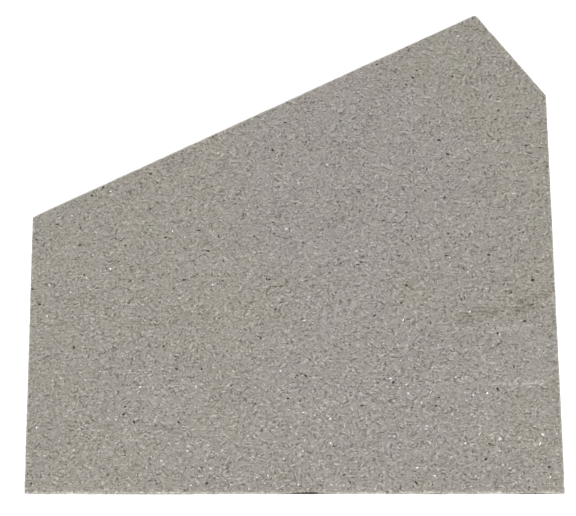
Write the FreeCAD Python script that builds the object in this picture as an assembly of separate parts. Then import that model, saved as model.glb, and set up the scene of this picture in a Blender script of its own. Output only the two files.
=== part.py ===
# Side firebrick of a wood-burning stove: one flat board of pressed vermiculite, cut to five sides.
#
# The brick lies on its back face. X runs along the foot edge, from the stove's door to its rear wall,
# Y runs up the brick as it stands in the stove, and Z is the thickness, with the fire face on top.
# The origin is the middle of the brick's bounding box, on the back face.
#
# The top edge slopes up from the door to the rear, because the baffle plate lies along it,
# and the rear top corner is cut off to leave the way to the flue. All five edges are saw cuts,
# square to the faces, with corners and arrises that handling has worn a little round.

import FreeCAD, Part
import math
import os

# Driving dimensions, in millimetres, to the sharp corners where the saw cuts would meet
THICKNESS = 25.0
FOOT_LENGTH = 300.0
OVERALL_HEIGHT = 275.0
DOOR_EDGE_HEIGHT = 158.0     # the low end, beside the door
REAR_CUT_LENGTH = 39.0       # taken off the rear top corner, along the foot edge
REAR_CUT_HEIGHT = 50.0       # and down the rear edge

# Wear, in millimetres
ARRIS_RADIUS = 0.8           # where a cut edge meets a flat face
CORNER_RADIUS = 1.0          # upright corners of the outline
PEAK_RADIUS = 2.5            # the peak is knocked rounder than the other corners


def outline_corners():
    """The five sharp corners, anticlockwise from the foot's door end, each with its radius of wear."""
    rear_edge_height = OVERALL_HEIGHT - REAR_CUT_HEIGHT
    peak_from_door = FOOT_LENGTH - REAR_CUT_LENGTH
    return [
        (FreeCAD.Vector(0, 0, 0), CORNER_RADIUS),
        (FreeCAD.Vector(FOOT_LENGTH, 0, 0), CORNER_RADIUS),
        (FreeCAD.Vector(FOOT_LENGTH, rear_edge_height, 0), CORNER_RADIUS),
        (FreeCAD.Vector(peak_from_door, OVERALL_HEIGHT, 0), PEAK_RADIUS),
        (FreeCAD.Vector(0, DOOR_EDGE_HEIGHT, 0), CORNER_RADIUS),
    ]


def corner_arc(before, corner, after, radius):
    """Start, middle and end of the arc that rounds a corner, tangent to the sides before and after it."""
    back = (before - corner).normalize()
    onward = (after - corner).normalize()
    inward = (back + onward).normalize()
    half_angle = back.getAngle(onward) / 2
    tangent_length = radius / math.tan(half_angle)
    corner_to_arc = radius / math.sin(half_angle) - radius
    return (
        corner + back * tangent_length,
        corner + inward * corner_to_arc,
        corner + onward * tangent_length,
    )


def outline():
    """The closed outline, straight cuts joined by the corner arcs, with its middle at the origin."""
    corners = outline_corners()
    count = len(corners)
    arcs = []
    for i, (corner, radius) in enumerate(corners):
        before = corners[i - 1][0]
        after = corners[(i + 1) % count][0]
        arcs.append(corner_arc(before, corner, after, radius))
    edges = []
    for i, (start, middle, end) in enumerate(arcs):
        next_start = arcs[(i + 1) % count][0]
        edges.append(Part.Arc(start, middle, end).toShape())
        edges.append(Part.LineSegment(end, next_start).toShape())
    wire = Part.Wire(edges)
    wire.translate(-wire.BoundBox.Center)
    return wire


def is_arris(edge):
    """True for an edge around one of the two faces, and false for an upright one in the thickness."""
    return edge.BoundBox.ZLength < THICKNESS / 2


def firebrick():
    """The outline carried through the thickness, with the arrises of both faces worn round."""
    board = Part.Face(outline()).extrude(FreeCAD.Vector(0, 0, THICKNESS))
    arrises = [edge for edge in board.Edges if is_arris(edge)]
    return board.makeFillet(ARRIS_RADIUS, arrises)


os.makedirs("parts", exist_ok=True)
firebrick().exportStep("parts/firebrick.step")
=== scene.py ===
import bmesh
import bpy
import math
import numpy as np
from mathutils import Euler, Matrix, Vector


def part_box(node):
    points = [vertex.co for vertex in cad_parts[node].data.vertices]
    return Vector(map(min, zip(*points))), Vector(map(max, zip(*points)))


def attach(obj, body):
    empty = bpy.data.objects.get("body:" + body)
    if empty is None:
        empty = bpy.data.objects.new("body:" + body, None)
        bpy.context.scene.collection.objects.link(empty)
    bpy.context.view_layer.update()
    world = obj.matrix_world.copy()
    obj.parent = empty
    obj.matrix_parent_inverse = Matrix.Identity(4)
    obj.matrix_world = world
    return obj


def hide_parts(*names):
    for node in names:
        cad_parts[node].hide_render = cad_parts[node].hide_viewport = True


# Side firebrick of a wood-burning stove: one board of pressed vermiculite, lying on its back face.
# X runs along the foot edge from the door to the rear wall, Y up the brick, and Z is its thickness.
# The shape is worked out in millimetres and put into the mesh in metres.

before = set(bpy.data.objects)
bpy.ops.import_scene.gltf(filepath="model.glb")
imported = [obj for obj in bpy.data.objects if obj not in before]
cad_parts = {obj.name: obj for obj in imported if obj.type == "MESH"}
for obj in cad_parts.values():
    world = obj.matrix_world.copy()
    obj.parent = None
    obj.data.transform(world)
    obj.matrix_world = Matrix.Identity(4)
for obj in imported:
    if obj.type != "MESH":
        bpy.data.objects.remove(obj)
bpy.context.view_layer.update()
mm = 0.001


# Node tools

class Wire:
    # Wraps one output socket. Each sign adds the Math node that it stands for.
    def __init__(self, finish, socket):
        self.finish = finish
        self.socket = socket

    def __add__(self, other):
        return self.finish.maths("ADD", self, other)

    def __radd__(self, other):
        return self.finish.maths("ADD", other, self)

    def __sub__(self, other):
        return self.finish.maths("SUBTRACT", self, other)

    def __rsub__(self, other):
        return self.finish.maths("SUBTRACT", other, self)

    def __mul__(self, other):
        return self.finish.maths("MULTIPLY", self, other)

    def __rmul__(self, other):
        return self.finish.maths("MULTIPLY", other, self)

    def __truediv__(self, other):
        return self.finish.maths("DIVIDE", self, other)

    def __lt__(self, other):
        return self.finish.maths("LESS_THAN", self, other)


class Finish:
    # A material, and the one method that every node comes from
    def __init__(self, name):
        self.material = bpy.data.materials.new(name)
        self.material.use_nodes = True
        self.tree = self.material.node_tree
        self.tree.nodes.clear()

    # Makes a node of a kind, sets its settings, then fills its sockets by name or by order.
    # It gives back the node's outputs by name.
    def add(self, kind, settings, values):
        node = self.tree.nodes.new(kind)
        for name, setting in settings.items():
            setattr(node, name, setting)
        sockets = [socket for socket in node.inputs if socket.enabled]
        named = values.items() if isinstance(values, dict) else enumerate(values)
        for key, value in named:
            socket = sockets[key] if isinstance(key, int) else next(s for s in sockets if s.name == key)
            if isinstance(value, Wire):
                self.tree.links.new(value.socket, socket)
            else:
                socket.default_value = value
        return {socket.name: Wire(self, socket) for socket in node.outputs if socket.enabled}

    def maths(self, operation, *values):
        return self.add("ShaderNodeMath", {"operation": operation}, values)["Value"]

    def vectors(self, operation, *values):
        outputs = self.add("ShaderNodeVectorMath", {"operation": operation}, values)
        return outputs["Value"] if operation == "LENGTH" else outputs["Vector"]

    # 0 below start and 1 above end, or the other way round where start is the larger
    def smooth(self, value, start, end):
        values = {"Value": value, "From Min": start, "From Max": end, "To Min": 0.0, "To Max": 1.0}
        return self.add("ShaderNodeMapRange", {"interpolation_type": "SMOOTHSTEP"}, values)["Result"]

    def noise(self, place, size, detail, roughness=0.5):
        values = {"Vector": place, "Scale": 1 / size, "Detail": detail, "Roughness": roughness}
        return self.add("ShaderNodeTexNoise", {"noise_dimensions": "3D"}, values)["Fac"]

    # A vector of three noises, each of which wanders over the reach, half of it below 0
    def wander(self, place, kind):
        values = {"Vector": place, "Scale": kind["perMm"], "Detail": 1.0}
        colour = self.add("ShaderNodeTexNoise", {}, values)["Color"]
        return self.vectors("SCALE", self.vectors("SUBTRACT", colour, (0.5, 0.5, 0.5)), kind["reach"])

    def blend(self, amount, first, second, how="MIX"):
        settings = {"data_type": "RGBA", "blend_type": how}
        return self.add("ShaderNodeMix", settings, {"Factor": amount, "A": first, "B": second})["Result"]


# Numbers worked out over whole arrays and over wires

# From the least, where the share is 0, to the most, where it is 1
def between(least, most, share):
    return least + (most - least) * share


oddNumbers = {
    "axes": (73856093, 19349663, 83492791),
    "seed": 2654435761,
    "mixes": ((15, 2246822519), (13, 3266489917)),
    "word": 0xFFFFFFFF,          # the largest number of 32 bits
}


# A number from 0 to 1 for each whole-numbered point: its three numbers and the seed are multiplied by large
# odd numbers and folded together, and the result is mixed twice
def scatter(cell, seed):
    value = seed * oddNumbers["seed"]
    for axis, odd in enumerate(oddNumbers["axes"]):
        value = value ^ cell[..., axis] * odd
    for shift, odd in oddNumbers["mixes"]:
        value = (value ^ value >> shift) * odd & oddNumbers["word"]
    return (value ^ value >> 16) / oddNumbers["word"]


# Value noise from 0 to 1: the eight corners of a point's cell, each weighted by 3t^2 - 2t^3 along every axis.
# Every call has a seed of its own.
def valueNoise(points, size, seed):
    scaled = points / size
    cell = np.floor(scaled).astype(np.int64)
    part = scaled - cell
    part = part * part * (3 - 2 * part)
    total = 0
    for corner in np.ndindex(2, 2, 2):
        weight = np.prod(np.where(np.array(corner), part, 1 - part), axis=-1)
        total = total + weight * scatter(cell + corner, seed)
    return total


# 1 up to the start, 0 from the end on, and 1 - 3t^2 + 2t^3 between them
def fade(value, start, end):
    t = np.clip((value - start) / (end - start), 0, 1)
    return 1 - t * t * (3 - 2 * t)


# The board's shape. Lengths are in mm, and a size is that of the noise's cells.

board = {
    "doorEdge": 158.0,           # height of the low end, beside the door
    "height": 275.0,             # to the peak, where the two saw cuts would meet
    "rearCutLength": 39.0,       # taken off the rear top corner, along the foot
    "rearCutHeight": 50.0,       # and down the rear edge
    "cornerRadius": 1.0,         # upright corners of the outline
    "peakRadius": 2.5,
    "arrisRadius": (0.45, 1.0),  # least and most wear where a cut meets a face
    "arrisSizes": (14, 3.5),
    "arrisGain": 1.6,            # brings some stretches to the most wear
    "edgeWaver": 0.20,           # how far the cuts stray inwards over their length
    "waverSizes": (37, 9),
    "edgeCrumble": 0.12,         # and from flake to flake
    "crumbleSize": 1.9,
    "crumbleSquash": (1, 1, 0.6),
    "edgeReach": 5,              # the straying dies out this far into the faces
    "faceRelief": 0.12,          # slow rise and fall of both faces
    "reliefSize": 46,
    "faceGrain": 0.07,           # rise and fall from flake to flake
    "grainSize": 2.6,
    "faceReach": 2,              # the faces' relief dies out this far down the walls
    "wornStart": (0.2, 0.7),     # an arris is pale this far onto the face, elsewhere and at the foot, where a painted highlight adds to the wear
    "wornEnd": (1.3, 2.1),       # and this far at all
    "wornCover": (0.3, 1.5),     # the same down the walls, fully and at all
    "wornStrength": (0.8, 1.0),  # elsewhere and at the foot, where a painted highlight adds to the wear
    "wornLeast": 0.45,           # and times this in its plainest stretches
    "wornPatch": 5,
    "wallRim": (0.6, 1.2),       # the saw's finish begins this near the wall, and this far down it
    "columnPitch": 1.35,         # mesh spacing along the foot
    "rows": 150,                 # mesh rows from the foot to the top edge
    "wallPitch": 2.6,            # mesh spacing through the thickness
    "borderSteps": (0, 0.2, 0.45, 0.75, 1.1, 1.6, 2.4),
    "weld": 0.0001,              # vertices closer than this become one
    "tiny": 1e-9,                # keeps a length of 0 from being a divisor
    "sheetGap": 3.0,             # between the parts of the finish's flat sheet
}

low, high = [np.array(corner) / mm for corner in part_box("firebrick")]
boardSize = high - low
peak = boardSize[0] - board["rearCutLength"]
rearEdge = board["height"] - board["rearCutHeight"]
slope = (board["height"] - board["doorEdge"]) / peak
corners = np.array([
    (0, 0),
    (boardSize[0], 0),
    (boardSize[0], rearEdge),
    (peak, board["height"]),
    (0, board["doorEdge"]),
])
cornerRadii = [board["cornerRadius"]] * 3 + [board["peakRadius"], board["cornerRadius"]]
along = np.roll(corners, -1, axis=0) - corners
edgeLengths = np.linalg.norm(along, axis=1)
along = along / edgeLengths[:, None]
outward = np.stack([along[:, 1], -along[:, 0]], axis=1)


# Height of the top edge above a place on the foot: straight up to the peak, then straight down the rear cut
def topEdge(x):
    rise = board["doorEdge"] + (board["height"] - board["doorEdge"]) * x / peak
    fall = board["height"] - board["rearCutHeight"] * (x - peak) / board["rearCutLength"]
    return np.minimum(rise, fall)


# Places from 0 to length: the border steps at both ends, and even steps of about the pitch between them
def spacing(length, pitch):
    steps = np.array(board["borderSteps"])
    middle = length - 2 * steps[-1]
    count = max(2, round(middle / pitch))
    even = steps[-1] + middle * np.arange(1, count) / count
    return np.concatenate([steps, even, length - steps[::-1]])


# The flat face as x over the columns and y over the rows. The first and last rows keep their distance from
# the foot and the top edge, and the rest share what is left in each column.
def faceGrid():
    left = spacing(peak, board["columnPitch"])
    right = peak + spacing(boardSize[0] - peak, board["columnPitch"])
    x = np.concatenate([left, right[1:]])
    lowSteps = np.array(board["borderSteps"])[:, None]
    steepness = np.where(x < peak, slope, board["rearCutHeight"] / board["rearCutLength"])
    slant = np.sqrt(1 + steepness ** 2)
    top = topEdge(x)
    share = (np.arange(1, board["rows"]) / board["rows"])[:, None]
    first = lowSteps[-1]
    last = top - lowSteps[-1] * slant
    y = np.concatenate([lowSteps + 0 * x, first + share * (last - first), top - lowSteps[::-1] * slant])
    return np.broadcast_to(x, y.shape), y


# Faces of a grid of vertices numbered row by row, from first, as four corners each
def gridFaces(rows, columns, first, turned):
    index = first + np.arange(rows * columns).reshape(rows, columns)
    ring = [index[:-1, :-1], index[:-1, 1:], index[1:, 1:], index[1:, :-1]]
    faces = np.stack(ring, axis=-1).reshape(-1, 4)
    return faces[:, ::-1] if turned else faces


# The sharp board as three grids: both flat faces, and the walls as the outline carried through the thickness.
# With them come the faces, and how far along the outline each of the walls' vertices lies.
def sharpBoard():
    x, y = faceGrid()
    rows, columns = x.shape
    z = spacing(boardSize[2], board["wallPitch"])
    rim = np.concatenate([
        np.stack([x[0, :-1], y[0, :-1]], 1),
        np.stack([x[:-1, -1], y[:-1, -1]], 1),
        np.stack([x[-1, :0:-1], y[-1, :0:-1]], 1),
        np.stack([x[::-1, 0], y[::-1, 0]], 1),
    ])
    run = np.concatenate([[0], np.cumsum(np.linalg.norm(np.diff(rim, axis=0), axis=1))])
    wallShape = (len(z), len(rim))
    faceUp = np.stack([x, y, 0 * x + boardSize[2]], -1).reshape(-1, 3)
    faceDown = np.stack([x, y, 0 * x], -1).reshape(-1, 3)
    wall = np.stack([
        np.broadcast_to(rim[:, 0], wallShape),
        np.broadcast_to(rim[:, 1], wallShape),
        np.broadcast_to(z[:, None], wallShape),
    ], -1).reshape(-1, 3)
    faces = np.concatenate([
        gridFaces(rows, columns, 0, False),
        gridFaces(rows, columns, len(faceUp), True),
        gridFaces(*wallShape, 2 * len(faceUp), False),
    ])
    runs = np.broadcast_to(run, wallShape).reshape(-1)
    return np.concatenate([faceUp, faceDown, wall]), faces, runs


# How deep each point lies inside the outline, and the way out to the nearest edge
def insideOutline(points):
    depths = np.stack([(corners[k] - points[:, :2]) @ outward[k] for k in range(len(corners))])
    nearest = depths.argmin(axis=0)
    return depths.min(axis=0), outward[nearest]


# Rounds the outline's upright corners: past a corner's arc centre, the offset from it keeps its direction
# and takes the length that its larger reach towards the two edges had
def roundCorners(places, way):
    for k, radius in enumerate(cornerRadii):
        before, after = outward[k - 1], outward[k]
        centre = corners[k] - radius * (before + after) / (1 + before @ after)
        offset = places[:, :2] - centre
        past = (offset @ along[k - 1] > 0) & (offset @ along[k] < 0) & (offset @ (before + after) > 0)
        length = np.linalg.norm(offset[past], axis=1)
        direction = offset[past] / np.maximum(length, board["tiny"])[:, None]
        reach = np.maximum(offset[past] @ before, offset[past] @ after)
        places[past, :2] = centre + direction * reach[:, None]
        way[past] = direction


# Rounds the arrises: near one, the offset from the centre of its arc is brought to the arc's radius
def roundArrises(places, way, depth, cover, side):
    least, most = board["arrisRadius"]
    slow, quick = board["arrisSizes"]
    wear = valueNoise(places, slow, 11) * valueNoise(places, quick, 12) * board["arrisGain"]
    radius = np.minimum(between(least, most, wear), most)
    back = np.maximum(radius - depth, 0)
    down = np.maximum(radius - cover, 0)
    near = (depth < radius) & (cover < radius)
    pull = np.where(near, radius / np.maximum(np.hypot(back, down), board["tiny"]) - 1, 0)
    places[:, :2] += way * (back * pull)[:, None]
    places[:, 2] += side * down * pull


# Small pieces broken out of the arrises. Each is a dent with a ragged rim, 1 - g^2 squared deep, where g is
# the distance from its middle over its own size.
chips = {
    "count": 110,
    "size": (0.9, 2.6),          # half length
    "depth": (0.10, 0.45),
    "large": 9,                  # of which this many are larger, on the back arrises only
    "largeSize": (3.0, 6.5),
    "largeDepth": (0.6, 1.4),
    "squash": (1, 1, 1.6),       # shorter through the thickness
    "ragged": (0.65, 1.35),      # g is multiplied by this, from place to place
    "raggedSize": 1.3,
    "uneven": (0.6, 1.4),        # and the depth by this
    "unevenSize": 0.8,
    "search": 1.6,               # no chip reaches further than this many half lengths
    "inward": 0.75,              # share of the depth that goes into the wall
    "downward": 0.65,            # and into the face
    "full": 0.4,                 # a place this deep counts as wholly broken
    "seed": 41,
}


def breakChips(places, way, side, original):
    random = np.random.default_rng(chips["seed"])
    total = edgeLengths.sum()
    starts = np.concatenate([[0], np.cumsum(edgeLengths)])
    carved = np.zeros(len(places))
    for i in range(chips["count"]):
        isLarge = i < chips["large"]
        size = random.uniform(*chips["largeSize" if isLarge else "size"])
        depth = random.uniform(*chips["largeDepth" if isLarge else "depth"])
        run = random.uniform(0, total)
        onBack = isLarge or random.random() < 0.5
        k = min(np.searchsorted(starts, run, side="right") - 1, len(corners) - 1)
        middle = np.array([*(corners[k] + along[k] * (run - starts[k])), 0 if onBack else boardSize[2]])
        close = np.flatnonzero(np.abs(original - middle).max(axis=1) < chips["search"] * size)
        spot = original[close]
        g = np.linalg.norm((spot - middle) * chips["squash"], axis=1) / size
        g = g * between(*chips["ragged"], valueNoise(spot, chips["raggedSize"], 21))
        dent = depth * np.clip(1 - g * g, 0, 1) ** 2
        dent = dent * between(*chips["uneven"], valueNoise(spot, chips["unevenSize"], 22))
        carved[close] = np.maximum(carved[close], dent)
    places[:, :2] -= way * carved[:, None] * chips["inward"]
    places[:, 2] -= side * carved * chips["downward"]
    return np.clip(carved / chips["full"], 0, 1)


# How pale an arris is, from 0 to 1: worn pale, and a painted highlight at the foot, which faces the light,
# so that the foot's pale band reaches furthest onto the face.
def wornPale(original, way, depth, cover):
    foot = np.clip(-way[:, 1], 0, 1)
    worn = fade(depth, between(*board["wornStart"], foot), between(*board["wornEnd"], foot))
    worn = worn * fade(cover, *board["wornCover"]) * between(*board["wornStrength"], foot)
    return worn * between(board["wornLeast"], 1, valueNoise(original, board["wornPatch"], 36))


# The worn board. Every step is a function of a point's place on the sharp board, so the grids' shared borders
# stay together.
def wornBoard(original):
    places = original.copy()
    depth, way = insideOutline(original)
    cover = np.minimum(original[:, 2], boardSize[2] - original[:, 2])
    side = np.where(original[:, 2] > boardSize[2] / 2, 1.0, -1.0)
    roundCorners(places, way)
    roundArrises(places, way, depth, cover, side)

    # The cuts stray inwards, all of it at the walls and none of it a few millimetres in
    slow, quick = board["waverSizes"]
    waver = board["edgeWaver"] * valueNoise(original, slow, 31) * valueNoise(original, quick, 32)
    torn = valueNoise(original * board["crumbleSquash"], board["crumbleSize"], 33)
    straying = (waver + board["edgeCrumble"] * torn) * fade(depth, 0, board["edgeReach"])
    places[:, :2] -= way * straying[:, None]

    # The faces rise and fall, always inwards from the board's full thickness
    relief = board["faceRelief"] * valueNoise(original, board["reliefSize"], 34)
    relief = relief + board["faceGrain"] * valueNoise(original, board["grainSize"], 35)
    places[:, 2] -= side * relief * fade(cover, 0, board["faceReach"])

    near, down = board["wallRim"]
    wear = {
        "carved": breakChips(places, way, side, original),
        # pale wear on the arrises, and a painted highlight along the foot
        "worn": wornPale(original, way, depth, cover),
        "wall": fade(depth, 0, near) * (1 - fade(cover, 0, down)),
    }
    return places, wear


# The finish's flat sheet, from 0 to 1, all to one scale: the fire face, the back face turned half round and
# set against its slope, and beside them the walls as three strips, which are the foot, the rear edge with the
# cut, and the slope with the door edge
def layOut(original, faces, runs):
    gap = board["sheetGap"]
    nested = board["height"] + board["doorEdge"] + slope * (boardSize[0] - peak) + gap * math.hypot(1, slope)
    wallVertices = len(original) - len(runs)
    lastVertex = faces.max(axis=1)
    isWall = lastVertex >= wallVertices
    isBack = (lastVertex >= wallVertices // 2) & ~isWall
    sheet = original[faces][:, :, :2].copy()
    sheet[isBack] = (boardSize[0], nested) - sheet[isBack]
    wallRuns = runs[faces[isWall] - wallVertices]
    seams = np.cumsum(edgeLengths)[[0, 2]]
    strip = np.searchsorted(seams, wallRuns.mean(axis=1))
    stripRun = np.concatenate([[0], seams])[strip]
    stripPlace = boardSize[0] + gap + strip * (boardSize[2] + gap)
    sheet[isWall, :, 0] = stripPlace[:, None] + original[faces[isWall]][:, :, 2]
    sheet[isWall, :, 1] = wallRuns - stripRun[:, None]
    return (sheet + gap) / (nested + 2 * gap)


# Fills one closed mesh in the board's frame, merges the grids along their shared borders, and keeps the wear
# as attributes
def boardMesh(name):
    original, faces, runs = sharpBoard()
    places, wear = wornBoard(original)
    mesh = bpy.data.meshes.new(name)
    mesh.from_pydata((places + low) * mm, [], faces.tolist())
    for wearName, values in wear.items():
        attribute = mesh.attributes.new(wearName, "FLOAT", "POINT")
        attribute.data.foreach_set("value", values.astype(np.float32))
    layer = mesh.uv_layers.new(name="OFBake")
    layer.data.foreach_set("uv", layOut(original, faces, runs).astype(np.float32).ravel())
    welded = bmesh.new()
    welded.from_mesh(mesh)
    bmesh.ops.remove_doubles(welded, verts=welded.verts, dist=board["weld"] * mm)
    welded.to_mesh(mesh)
    welded.free()
    mesh.polygons.foreach_set("use_smooth", np.ones(len(mesh.polygons), bool))
    mesh.update()
    return mesh


# The finish: pressed flakes of vermiculite. A tone of 0 is the plain board, and 1 is nearly white.

vermiculite = {
    "olive": (0.3602, 0.3425, 0.2840),
    "mauve": (0.3612, 0.3295, 0.3162),
    "mauveShare": (0.35, 0.65),      # outside and inside the mauve patches
    "mauveDrift": {"size": 7.0, "depth": 0.5},
    "lightDrift": {"size": 24.0, "depth": 0.14, "middle": 0.984},
    "grey": (0.364, 0.350, 0.328),   # what a tone of 1 adds
    "darkest": -0.86,
    "roughness": 0.88,
    "relief": 0.24,                  # mm of bump for a tone of 1
    "bend": {"perMm": 0.28, "reach": 2.0},       # mm that the flakes are bent by
    "rag": {"perMm": 1.4, "reach": 0.22},        # and their edges torn by
    "grit": {"size": 0.7, "depth": 0.12},        # powder in between
    # Each layer lies over the last, with one flake for each cell of a Voronoi texture. cell is the room for
    # it and half its half sizes, in mm. dark and light are how far it may turn the board, and cover is how
    # much it hides of the flakes below. A flake with a lip lies flat, and its lip is a painted highlight on
    # one long edge and painted shade on the other. One without stands on edge.
    "layers": [
        {"cell": (3.0, 2.4, 0.9), "half": (1.75, 0.84, 0.50),
         "dark": 0.03, "light": 0.04, "cover": 0.0, "lipHighlightAndShade": 0.42},
        {"cell": (2.4, 1.9, 0.7), "half": (1.30, 0.66, 0.38),
         "dark": 0.04, "light": 0.05, "cover": 0.4, "lipHighlightAndShade": 0.49},
        {"cell": (2.4, 1.9, 0.8), "half": (1.50, 0.62, 0.44),
         "dark": 0.46, "light": 0.62, "cover": 0.5, "lipHighlightAndShade": 0.0},
        {"cell": (1.9, 1.5, 0.8), "half": (1.00, 0.56, 0.42),
         "dark": 0.46, "light": 0.62, "cover": 0.5, "lipHighlightAndShade": 0.0},
    ],
    "layerShift": (17.3, 31.7, 5.1),             # mm, so that the layers' cells don't line up
    "flakeSizes": (0.65, 1.35),                  # from the smallest flake to the largest
    "turn": (0.78, 0.79),                        # radians, and the two make a right angle
    "flatBody": (1.3, 0.75),                     # the reach where a flat flake ends, and where it is full
    "lipInner": (0.55, 0.98),                    # where its lip begins, and where it is full
    "lipOuter": (1.5, 1.08),                     # where the lip ends, and where it is still full
    "halo": 0.30,                                # the fainter tone round a flake on edge
    "haloEnd": (3.4, 2.2),                       # where that ends, and where it is still full
    "sheen": {"roughness": 0.42, "metallic": 0.14, "from": 0.08, "to": 0.40},    # of the light flakes
    # Fine curved lines that follow the level lines of a slow noise, here and there
    "swirl": {"stretch": (0.85, 1.1, 2.0), "size": 8.0, "turns": 8.0, "depth": 0.16,
              "patch": 2.8, "from": 0.35, "to": 0.62},
    "books": {"cell": (6.5, 6.0, 2.0), "half": (2.6, 1.8, 0.9), "shift": (7.0, 63.0, 11.0),
              "rim": (1.1, 0.7), "pitch": 1.9, "depth": 0.22, "share": 0.35},
    # open pits, darkened by their depth as painted shade in the hollow
    "shadedPits": {"cell": (4.6, 4.2, 1.8), "half": (0.95, 0.52, 0.70), "shift": (91.0, 47.0, 0.0),
             "rim": (1.2, 0.6), "sizes": (0.4, 1.2), "depth": 0.84, "share": 0.070},
    "glints": {"cell": (4.5, 4.5, 1.4), "half": (0.80, 0.33, 0.50), "shift": (53.0, 29.0, 3.0),
               "rim": (1.1, 0.9), "share": 0.32, "colour": (0.52, 0.51, 0.49),
               "roughness": 0.20, "metallic": (0.16, 0.34), "tilt": 0.62},
    # On the walls, which are saw cuts: the flakes' layers are fine level lines, and the blade has left faint
    # upright ones
    "levels": {"stretch": (0.16, 0.16, 1.0), "size": 0.75, "depth": 0.7},
    "teeth": {"stretch": (1.0, 1.0, 0.06), "size": 0.9, "depth": 0.3},
    "worn": {"size": 1.7, "tone": (0.25, 1.2)},  # the pale tone of a worn arris, and of the painted highlight at the foot
    "carvedTone": 0.16,                          # and of a chip
}

# Where the board is marked. A spot is its middle, half length and half width in mm, turn in degrees, and
# strength. soft is how gently it fades at its rim, and depth how far it goes down the walls.
marks = {
    "mauve": {"soft": 0.15, "depth": 80, "spots": [
        (35, 43, 68, 62, 0, 1.0),
        (47, -78, 72, 42, 0, 0.8),
        (118, -62, 34, 22, 0, 0.5),
        (34, -22, 26, 24, 0, 0.95),
        (36, -121, 100, 20, 0, 0.35),
        (100, 0, 30, 34, 0, 0.5),
        (-78, -85, 30, 25, 0, 0.3),
    ]},
    "brown": {"soft": 0.4, "depth": 2.5, "spots": [
        (107.1, -37.3, 12, 3.2, 8, 0.9),
        (99.1, -42.3, 5.5, 3.6, 0, 0.5),
        (132.4, -33.6, 7, 4, 15, 0.8),
        (144.4, -26.9, 7.5, 3, 20, 0.6),
        (122.2, -22.1, 8, 4.5, 0, 0.3),
        (94.8, -52.9, 4.5, 3.5, 0, 0.3),
        (145.9, 70.5, 3, 2.5, 0, 0.4),
        (121.2, 23.9, 3, 2.5, 0, 0.35),
        (-3.3, -129.6, 4, 3, 0, 0.35),
        (71.4, -129.7, 3, 3, 0, 0.35),
    ]},
    "scratch": {"soft": 0.5, "depth": 1.0, "spots": [
        (110.0, -49.0, 6.7, 0.9, 0.7, 0.6),
        (118.5, -46.7, 6.7, 1.1, -2.9, 0.8),
        (130.5, -45.4, 6.4, 1.1, 4.5, 0.8),
        (127.8, -76.9, 17.2, 1.1, 2.8, 0.9),
        (148.2, -75.8, 3.3, 0.8, 4.4, 0.8),
        (107.5, -61.9, 3.8, 0.6, -63.3, 1.0),
        (113.1, -73.4, 2.6, 0.5, -58.9, 0.8),
        (-71.8, -136.2, 7.1, 0.5, 0, 1.0),
        (140.0, -136.3, 3.3, 0.5, 0, 1.0),
    ]},
    # painted shade: a shadow line along the foot's arris, darkest in a lens near its middle, and shade in a
    # few deep pits
    "paintedShade": {"soft": 0.25, "depth": 1.8, "spots": [
        (9.3, -137.2, 12.5, 1.4, 0, 1.0),
        (7.8, -137.3, 19.0, 0.8, 0, 0.6),
        (-80.0, -137.3, 34.0, 0.75, 0, 0.45),
        (80.5, -137.3, 8.0, 0.75, 0, 0.55),
        (133.0, -137.3, 13.0, 0.8, 0, 0.85),
        (116.7, -49.2, 0.75, 0.5, -30, 1.0),
        (132.0, -42.6, 1.1, 0.5, 0, 0.9),
        (137.5, -19.5, 1.0, 0.6, 0, 1.0),
        (89.7, -29.2, 0.45, 0.6, 0, 0.7),
    ]},
    # painted glints: fixed near-white spots that stand in for mica catching the light
    "paintedGlint": {"soft": 0.15, "depth": 1.0, "spots": [
        (117.8, -50.0, 0.5, 0.4, -30, 1.0),
        (115.6, -107.3, 0.6, 0.9, 0, 1.0),
        (139.2, -105.0, 0.9, 0.6, -40, 1.0),
        (66.0, -82.2, 0.6, 0.5, 0, 1.0),
    ]},
    "mauveBend": 16.0,           # mm that the rims of the mauve patches wander
    "brownBend": 1.5,            # and those of the brown stains
    "brownTint": (0.60, 0.51, 0.47, 1),
    "brownLeast": 0.2,           # strength of a stain between its streaks
    "ripple": 1.9,               # mm from one brown streak to the next
    "rippleDrift": {"size": 9.0, "depth": 1.5, "broken": 3.2},
    "rippleRise": (0.0, 0.9),
    "streaks": {"stretch": (0.22, 1.4, 1.0), "size": 1.5},       # long, thin and level
    "scratchGain": 0.42,
    "scratchRise": (0.38, 0.54),
    "paintedShadeRag": 5.0,              # times the flakes' own rag
    "paintedShadeDark": 0.97,
    # the colour of the painted glints
    "paintedGlintColour": (0.92, 0.91, 0.89, 1),
}


# One flake in each cell: the offset from the cell's point is turned by the cell's own angle and divided by
# the half sizes. Its length is 1 on the flake's rim. A lean from -1 to 1 turns it by up to a right angle, and
# small turns are commoner.
def flakeCells(finish, place, kind, shift):
    scaled = finish.vectors("DIVIDE", finish.vectors("ADD", place, shift), kind["cell"])
    settings = {"voronoi_dimensions": "3D", "feature": "F1"}
    texture = finish.add("ShaderNodeTexVoronoi", settings, {"Vector": scaled, "Scale": 1.0})
    chance = finish.add("ShaderNodeSeparateColor", {}, {"Color": texture["Color"]})
    offset = finish.vectors("SUBTRACT", scaled, texture["Position"])
    offset = finish.vectors("MULTIPLY", offset, kind["cell"])
    lean = 2 * chance["Red"] - 1
    least, more = vermiculite["turn"]
    turn = {"Vector": offset, "Angle": lean * (least + more * lean * lean)}
    turned = finish.add("ShaderNodeVectorRotate", {"rotation_type": "Z_AXIS"}, turn)["Vector"]
    spread = finish.vectors("DIVIDE", turned, kind["half"])
    across = finish.add("ShaderNodeSeparateXYZ", {}, [spread])["Y"]
    return finish.vectors("LENGTH", spread), across, chance, texture["Color"]
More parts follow.
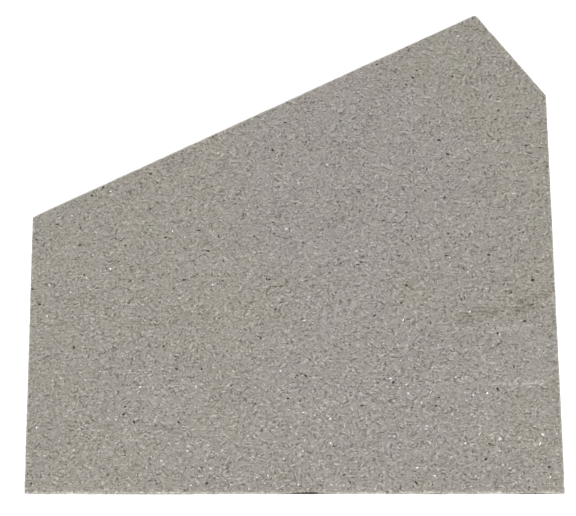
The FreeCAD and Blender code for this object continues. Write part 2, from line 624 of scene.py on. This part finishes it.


# Lays one layer of flakes over the tone below. Each flake has a random tone, squared with its sign kept, so
# that strong ones are few. A flat flake's rim adds its lip, a painted highlight on one side and painted shade
# on the other. The tone of one on edge falls as 1 - reach^2, through its rim to a faint tone of the other
# sign.
def layFlakes(finish, place, below, layer, shift):
    reach, across, chance, _ = flakeCells(finish, place, layer, shift)
    reach = reach / between(*vermiculite["flakeSizes"], chance["Blue"])
    chosen = 2 * chance["Green"] - 1
    chosen = chosen * finish.maths("ABSOLUTE", chosen)
    lighter = layer["light"] * finish.maths("MAXIMUM", chosen, 0)
    shade = lighter + layer["dark"] * finish.maths("MINIMUM", chosen, 0)
    if layer["lipHighlightAndShade"]:
        body = finish.smooth(reach, *vermiculite["flatBody"])
        rim = finish.smooth(reach, *vermiculite["lipInner"]) * finish.smooth(reach, *vermiculite["lipOuter"])
        flat = below + body * (shade - layer["cover"] * below)
        # The lip: a painted highlight on one long edge and painted shade on the other, by a random sign
        return flat + layer["lipHighlightAndShade"] * rim * (2 * chance["Blue"] - 1) * across
    body = 1 - reach * reach
    line = finish.maths("MAXIMUM", body, -vermiculite["halo"])
    line = line * finish.smooth(reach, *vermiculite["haloEnd"])
    return below + shade * line - layer["cover"] * below * finish.maths("MAXIMUM", body, 0)


# The tone of the pressed board at a place: layers of flakes, swirls, books of parallel leaves, and open pits
# in painted shade
def flakeTone(finish, place):
    tone = 0.0
    for i, layer in enumerate(vermiculite["layers"]):
        shift = [step * i for step in vermiculite["layerShift"]]
        tone = layFlakes(finish, place, tone, layer, shift)

    swirl = vermiculite["swirl"]
    level = finish.noise(finish.vectors("MULTIPLY", place, swirl["stretch"]), swirl["size"], 0.5)
    curves = finish.maths("SINE", level * (2 * math.pi * swirl["turns"]))
    patches = finish.smooth(finish.noise(place, swirl["patch"], 0.0), swirl["from"], swirl["to"])
    tone = tone + swirl["depth"] * curves * patches

    books = vermiculite["books"]
    reach, across, chance, _ = flakeCells(finish, place, books, books["shift"])
    leaves = finish.maths("SINE", across * (2 * math.pi * books["half"][1] / books["pitch"]))
    chosen = chance["Green"] < books["share"]
    tone = tone + books["depth"] * leaves * finish.smooth(reach, *books["rim"]) * chosen

    # Open pits, darkened as painted shade in their hollows
    shadedPits = vermiculite["shadedPits"]
    reach, _, chance, _ = flakeCells(finish, place, shadedPits, shadedPits["shift"])
    reach = reach / between(*shadedPits["sizes"], chance["Blue"])
    pitShade = finish.smooth(reach, *shadedPits["rim"]) * (chance["Green"] < shadedPits["share"])
    return tone - pitShade * (shadedPits["depth"] + tone)


# The tone that the saw has left on the walls
def sawnTone(finish, straight):
    tone = 0.0
    for kind, detail in ((vermiculite["levels"], 2.0), (vermiculite["teeth"], 1.0)):
        lines = finish.noise(finish.vectors("MULTIPLY", straight, kind["stretch"]), kind["size"], detail)
        tone = tone + kind["depth"] * (lines - 0.5)
    return tone


# The strongest of several marks on the fire face. Each fades from its strength to none as the distance from
# its middle, over its half sizes, goes from 1 - soft to 1 + soft.
def markSpots(finish, place, kind):
    strongest = 0.0
    for x, y, length, width, turn, strength in kind["spots"]:
        offset = finish.vectors("SUBTRACT", place, (x, y, boardSize[2]))
        turned = {"Vector": offset, "Angle": -math.radians(turn)}
        offset = finish.add("ShaderNodeVectorRotate", {"rotation_type": "Z_AXIS"}, turned)["Vector"]
        spread = finish.vectors("DIVIDE", offset, (length, width, kind["depth"]))
        inside = finish.smooth(finish.vectors("LENGTH", spread), 1 + kind["soft"], 1 - kind["soft"])
        strongest = finish.maths("MAXIMUM", strongest, strength * inside)
    return strongest


# The plain board's colour, before any flake: olive with mauve patches, a little lighter here, darker there
def plainColour(finish, straight, bend):
    wandered = finish.vectors("SCALE", bend, marks["mauveBend"] / vermiculite["bend"]["reach"])
    patch = markSpots(finish, finish.vectors("ADD", straight, wandered), marks["mauve"])
    drift = vermiculite["mauveDrift"]
    hue = between(*vermiculite["mauveShare"], patch)
    hue = hue + drift["depth"] * (finish.noise(straight, drift["size"], 1.0) - 0.5)
    colour = finish.blend(hue, (*vermiculite["olive"], 1), (*vermiculite["mauve"], 1))
    drift = vermiculite["lightDrift"]
    light = drift["middle"] + drift["depth"] * (finish.noise(straight, drift["size"], 2.0) - 0.5)
    return finish.vectors("SCALE", colour, light)


# How brown the board is at a place: the stains, stronger along streaks that ripple level across them
def brownStain(finish, straight, place, bend, streaks):
    drift = marks["rippleDrift"]
    height = finish.add("ShaderNodeSeparateXYZ", {}, [place])["Y"] / marks["ripple"]
    height = height + drift["depth"] * finish.noise(straight, drift["size"], 1.0)
    ripples = finish.maths("SINE", height * (2 * math.pi)) + drift["broken"] * (streaks - 0.5)
    wandered = finish.vectors("SCALE", bend, marks["brownBend"] / vermiculite["bend"]["reach"])
    stain = markSpots(finish, finish.vectors("ADD", straight, wandered), marks["brown"])
    return stain * between(marks["brownLeast"], 1, finish.smooth(ripples, *marks["rippleRise"]))


def vermiculiteFinish():
    finish = Finish("vermiculite")
    here = finish.add("ShaderNodeTexCoord", {}, {})["Object"]
    straight = finish.vectors("SCALE", here, 1 / mm)
    bend = finish.wander(straight, vermiculite["bend"])
    rag = finish.wander(straight, vermiculite["rag"])
    place = finish.vectors("ADD", finish.vectors("ADD", straight, bend), rag)
    wear = {}
    for name in ("worn", "carved", "wall"):
        wear[name] = finish.add("ShaderNodeAttribute", {"attribute_name": name}, {})["Fac"]

    grit = vermiculite["grit"]
    tone = flakeTone(finish, place) + wear["wall"] * sawnTone(finish, straight)
    tone = tone + grit["depth"] * (finish.noise(straight, grit["size"], 2.0, 0.6) - 0.5)
    # Pale worn arrises with a painted highlight along the foot, and paler chips
    worn = vermiculite["worn"]
    pale = wear["worn"] * between(*worn["tone"], finish.noise(place, worn["size"], 1.0))
    pale = pale + wear["carved"] * vermiculite["carvedTone"]

    streaks = finish.vectors("MULTIPLY", place, marks["streaks"]["stretch"])
    streaks = finish.noise(streaks, marks["streaks"]["size"], 1.0)
    scratch = marks["scratchGain"] * markSpots(finish, straight, marks["scratch"])
    scratch = scratch * finish.smooth(streaks, *marks["scratchRise"])
    # Painted shade along the foot's arris and in a few deep pits, with a ragged rim
    ragged = finish.vectors("ADD", straight, finish.vectors("SCALE", rag, marks["paintedShadeRag"]))
    paintedShade = markSpots(finish, ragged, marks["paintedShade"])

    # The mica faces that catch the light, each tilted its own way and none of them on the painted shade
    glints = vermiculite["glints"]
    reach, _, chance, colour = flakeCells(finish, place, glints, glints["shift"])
    glint = finish.smooth(reach, *glints["rim"]) * (chance["Green"] < glints["share"]) * (1 - paintedShade)
    tilt = finish.vectors("SUBTRACT", colour, (0.5, 0.5, 0.5))
    tilt = finish.vectors("SCALE", tilt, glint * glints["tilt"])

    shade = finish.maths("MAXIMUM", tone + pale + scratch, vermiculite["darkest"])
    shade = finish.vectors("SCALE", vermiculite["grey"], shade)
    colour = finish.vectors("ADD", plainColour(finish, straight, bend), shade)
    # Painted shade: darkens the colour along the foot's arris and in a few pits
    colour = finish.vectors("SCALE", colour, 1 - marks["paintedShadeDark"] * paintedShade)
    brown = brownStain(finish, straight, place, bend, streaks)
    colour = finish.blend(brown, colour, marks["brownTint"], "MULTIPLY")
    colour = finish.blend(glint, colour, (*glints["colour"], 1))
    # Painted glints: a few fixed spots turned near white
    colour = finish.blend(markSpots(finish, straight, marks["paintedGlint"]), colour, marks["paintedGlintColour"])

    sheen = vermiculite["sheen"]
    shine = finish.smooth(tone, sheen["from"], sheen["to"])
    roughness = between(vermiculite["roughness"], sheen["roughness"], shine)
    roughness = between(roughness, glints["roughness"], glint)
    metallic = glint * between(*glints["metallic"], finish.maths("POWER", chance["Blue"], 4.0))
    metallic = finish.maths("MAXIMUM", metallic, sheen["metallic"] * shine)

    bump = {"Height": tone, "Strength": 1.0, "Distance": vermiculite["relief"] * mm}
    normal = finish.add("ShaderNodeBump", {}, bump)["Normal"]
    normal = finish.vectors("NORMALIZE", finish.vectors("ADD", normal, tilt))
    values = {"Base Color": colour, "Roughness": roughness, "Metallic": metallic, "Normal": normal}
    shader = finish.add("ShaderNodeBsdfPrincipled", {}, values)["BSDF"]
    finish.add("ShaderNodeOutputMaterial", {}, {"Surface": shader})
    return finish.material


print("Board: worked out from the outline")
brick = bpy.data.objects.new("pressed_board", boardMesh("pressed_board"))
bpy.context.scene.collection.objects.link(brick)
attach(brick, "root")
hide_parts("firebrick")
print("Board:", len(brick.data.vertices), "vertices,", len(brick.data.polygons), "faces")

print("Finish: flakes, marks and wear")
brick.data.materials.append(vermiculiteFinish())

# Floor, light and camera. Lengths are in metres, apart from the camera's.

studio = {
    "floorSize": 8.0,
    "floorColour": (0.65, 0.65, 0.65, 1),
    "floorRoughness": 0.9,
    "floorGlow": 0.67,
    "keyPlace": (0.1, -1.7, 2.3),
    "keySize": 1.3,
    "keyPower": 37.5,
    "white": (1, 1, 1, 1),
    "fill": 0.62,
}

camera = {
    "place": (17.76, -59.93, 479.65),    # mm in the board's frame
    "turn": (6.830, 2.364, -0.434),      # degrees about X, Y and Z, from looking straight down
    "lens": 50.0,                        # mm
    "sensor": 36.0,
    "nearest": 10.0,
}


def makeFloor():
    half = studio["floorSize"] / 2
    mesh = bpy.data.meshes.new("floor")
    ring = [(-half, -half, 0), (half, -half, 0), (half, half, 0), (-half, half, 0)]
    mesh.from_pydata(ring, [], [(0, 1, 2, 3)])
    finish = Finish("floor")
    values = {"Base Color": studio["floorColour"], "Roughness": studio["floorRoughness"]}
    values |= {"Emission Color": studio["white"], "Emission Strength": studio["floorGlow"]}
    shader = finish.add("ShaderNodeBsdfPrincipled", {}, values)["BSDF"]
    finish.add("ShaderNodeOutputMaterial", {}, {"Surface": shader})
    mesh.materials.append(finish.material)
    floor = bpy.data.objects.new("floor", mesh)
    bpy.context.scene.collection.objects.link(floor)


def makeLight():
    light = bpy.data.lights.new("key", "AREA")
    light.shape = "SQUARE"
    light.size = studio["keySize"]
    light.energy = studio["keyPower"]
    key = bpy.data.objects.new("key", light)
    key.location = studio["keyPlace"]
    key.rotation_euler = (-key.location).to_track_quat("-Z", "Y").to_euler()
    bpy.context.scene.collection.objects.link(key)
    world = bpy.data.worlds.new("studio")
    world.use_nodes = True
    sky = world.node_tree.nodes["Background"]
    sky.inputs["Color"].default_value = studio["white"]
    sky.inputs["Strength"].default_value = studio["fill"]
    bpy.context.scene.world = world


def makeCamera():
    data = bpy.data.cameras.new("camera")
    data.lens = camera["lens"]
    data.sensor_width = camera["sensor"]
    data.clip_start = camera["nearest"] * mm
    viewer = bpy.data.objects.new("camera", data)
    viewer.location = np.array(camera["place"]) * mm
    viewer.rotation_euler = Euler(np.radians(camera["turn"]))
    bpy.context.scene.collection.objects.link(viewer)
    bpy.context.scene.camera = viewer


print("Studio: floor, light and camera")
makeFloor()
makeLight()
makeCamera()
bpy.context.scene.view_settings.view_transform = "Standard"
